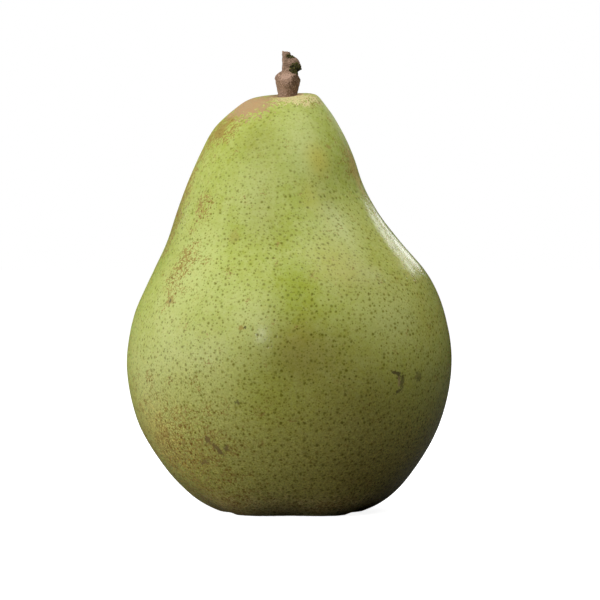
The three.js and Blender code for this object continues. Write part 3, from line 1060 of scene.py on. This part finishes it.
def grow_stamen(number):
    """A thin stalk that hangs from inside the cup and ends in a small head. Each leans its own way."""
    theta = 2 * math.pi * number / STAMENS + 0.3
    lean = STAMEN_LEAN * math.sin(2.4 * number)
    top = BASIN_DEPTH + 0.3
    path = []
    for share, _ in STAMEN_RINGS:
        reach = STAMEN_BASE_REACH + STAMEN_SPREAD * share + lean * share
        path.append(around(theta + lean * share, reach, top - STAMEN_LENGTH * share))
    return grow_rings("stamen", 8, [radius for _, radius in STAMEN_RINGS], path)


# %% Put the calyx together
CUP = (
    # half width, height: from inside the flesh down to the rim, and up again into the cup
    (2.2, 6.6),
    (2.25, 4.8),
    (2.4, 3.95),
    (2.05, 3.4),
    (1.55, 3.5),
    (1.0, 4.4),
    (0.3, 4.8),
)
calyx = grow_rings("pear_calyx", 20, [ring[0] for ring in CUP], [Vector((0, 0, ring[1])) for ring in CUP])
shoots = [grow_sepal(number) for number in range(SEPALS)]
shoots += [grow_stamen(number) for number in range(STAMENS)]
join(calyx, shoots)
bpy.ops.object.mode_set(mode="EDIT")
bpy.ops.mesh.select_all(action="SELECT")
bpy.ops.mesh.normals_make_consistent(inside=False)
bpy.ops.object.mode_set(mode="OBJECT")
apply_modifier(calyx, "SUBSURF", levels=2, render_levels=2)
roughen(calyx, "calyx_wrinkles", puff=0.5, height=0.3)
bpy.ops.object.shade_smooth()
print("calyx is", size_in_mm(calyx), "mm,", len(calyx.data.polygons), "faces")

# %% [markdown]
# ## The calyx's finish
#
# Dried sepals are matt and nearly black, and paler brown towards their tips, where they frayed. The distance
# from the origin tells how far out a point is, and two clouds break the brown into worn patches.

# %% Paint the calyx
DRIED = (0.06, 0.04, 0.024, 1)
FRAYED = (0.19, 0.125, 0.07, 1)
CALYX_RELIEF = 0.15
dry, place = new_finish("dried_calyx")
creases = cloud(place, 0.45, 4, 0.65)
threads = cloud(place, 0.25, 3, 0.6, shift=25)
outer = place.node("ShaderNodeVectorMath", {"operation": "LENGTH"}, {0: place}, output=1)
frayed = (creases + (threads - 0.5) * 1.5 + outer.step(3.0, 6.5) * 0.1).step(0.45, 0.85)
withered = (frayed * 0.8).blend(DRIED, FRAYED)
finish_with(creases + threads * 0.5, CALYX_RELIEF, withered, threads * 0.2 + 0.65, IOR=1.4)
paint(calyx, dry)
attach(calyx, "root")
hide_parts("calyx")
print("calyx nodes:", len(dry.node_tree.nodes))

# %% [markdown]
# ## The studio
#
# The photograph has a plain white ground and soft light. Large lamps stand high and low on the left, and more
# hang above, so the lower right falls into shade. Two small ones behind it on the right give the bright edge
# of the shoulder, and a small one in front gives the glint on the ridge. Little light comes from below, so
# the floor is white to the camera, but dark to the light that would bounce up from it.

# %% Lay the floor
GLOW_GROWS = (0.03, 0.25)  # from under the fruit to well away from it, in metres
GLOW_UNDER_FRUIT = 0.9


def pale_to_camera(name, seen, unseen):
    """A matt white that glows to the camera, so its shadows are faint, and is nearly black to other light."""
    material = bpy.data.materials.new(name)
    material.use_nodes = True
    material.node_tree.nodes.clear()
    camera_ray = Wire(material.node_tree.nodes.new("ShaderNodeLightPath").outputs["Is Camera Ray"])
    white = camera_ray.node("ShaderNodeBsdfDiffuse", None, {"Color": (seen, seen, seen, 1)})
    metres = Wire(material.node_tree.nodes.new("ShaderNodeTexCoord").outputs["Object"])
    away = metres.node("ShaderNodeVectorMath", {"operation": "LENGTH"}, {0: metres}, output=1)
    strength = away.step(*GLOW_GROWS) * (1 - GLOW_UNDER_FRUIT) + GLOW_UNDER_FRUIT
    glow = away.node("ShaderNodeEmission", None, {"Color": (1, 1, 1, 1), "Strength": strength})
    bright = camera_ray.node("ShaderNodeAddShader", None, {0: white, 1: glow})
    dark = camera_ray.node("ShaderNodeBsdfDiffuse", None, {"Color": (unseen, unseen, unseen, 1)})
    mixed = camera_ray.node("ShaderNodeMixShader", None, {0: camera_ray, 1: dark, 2: bright})
    camera_ray.node("ShaderNodeOutputMaterial", None, {"Surface": mixed})
    return material


nothing_selected()
bpy.ops.mesh.primitive_plane_add(size=12, location=(0, 0, 0))
floor = start_piece("floor")
paint(floor, pale_to_camera("white_ground", seen=0.8, unseen=0.07))
print("floor:", floor.dimensions.x, "m wide")

# %% Fill the studio with air
AIR_LIGHT = 0.04
world = bpy.data.worlds.new("studio_air")
bpy.context.scene.world = world
world.use_nodes = True
air = world.node_tree
air.nodes.clear()
ray = Wire(air.nodes.new("ShaderNodeLightPath").outputs["Is Camera Ray"])
strength = ray * (1 - AIR_LIGHT) + AIR_LIGHT
background = ray.node("ShaderNodeBackground", None, {"Color": (1, 1, 1, 1), "Strength": strength})
air.links.new(background.socket, air.nodes.new("ShaderNodeOutputWorld").inputs["Surface"])
print("air:", len(air.nodes), "nodes")

# %% Hang the lamps
LAMP_DISTANCE = 0.9
LAMPS = (
    # name, azimuth, elevation, width, height, watts
    ("key", -125, 38, 1.0, 0.5, 3.5),
    ("key_low", -170, 5, 1.2, 0.4, 6.3),
    ("top", -25, 66, 0.8, 0.7, 4.9),
    ("over", -90, 80, 0.6, 0.6, 1.8),
    ("wall_left", 156, 5, 0.7, 0.4, 1.2),
    ("back_strip", 55, 25, 0.15, 0.11, 0.24),
    ("back_strip_low", 69, 17, 0.11, 0.13, 0.17),
    ("front_catch", -101, 15, 0.16, 0.09, 1.3),
)
AIM = Vector((0, 0, 55)) * MM
for name, azimuth, elevation, width, height, watts in LAMPS:
    lamp = bpy.data.lights.new(name, "AREA")
    lamp.shape = "RECTANGLE"
    lamp.size, lamp.size_y, lamp.energy = width, height, watts
    holder = bpy.data.objects.new(name, lamp)
    bpy.context.scene.collection.objects.link(holder)
    level = math.cos(math.radians(elevation))
    away = Vector((
        level * math.cos(math.radians(azimuth)),
        level * math.sin(math.radians(azimuth)),
        math.sin(math.radians(elevation)),
    ))
    holder.location = AIM + away * LAMP_DISTANCE
    holder.rotation_euler = away.to_track_quat("Z", "Y").to_euler()
print("lit by", len(LAMPS), "lamps")

# %% [markdown]
# A long lens from a metre away shows the fruit nearly without perspective, as the photograph does. The camera
# stands one degree above the level of the fruit, and frames 150 mm.

# %% Set up the camera
SENSOR_WIDTH = 36
FRAME_WIDTH = 0.150
CAMERA_DISTANCE = 1.0
CAMERA_RISE = math.radians(1)
LOOK_AT = Vector((2.75, 0, 53.0)) * MM
camera_data = bpy.data.cameras.new("camera")
camera_data.sensor_width = SENSOR_WIDTH
camera_data.lens = SENSOR_WIDTH * CAMERA_DISTANCE / FRAME_WIDTH
camera = bpy.data.objects.new("camera", camera_data)
bpy.context.scene.collection.objects.link(camera)
back_off = Vector((0, -math.cos(CAMERA_RISE), math.sin(CAMERA_RISE)))
camera.location = LOOK_AT + back_off * CAMERA_DISTANCE
camera.rotation_euler = Euler((math.pi / 2 - CAMERA_RISE, 0, 0))
bpy.context.scene.camera = camera
bpy.context.scene.view_settings.view_transform = "Standard"
print("lens:", round(camera_data.lens), "mm")

# %% [markdown]
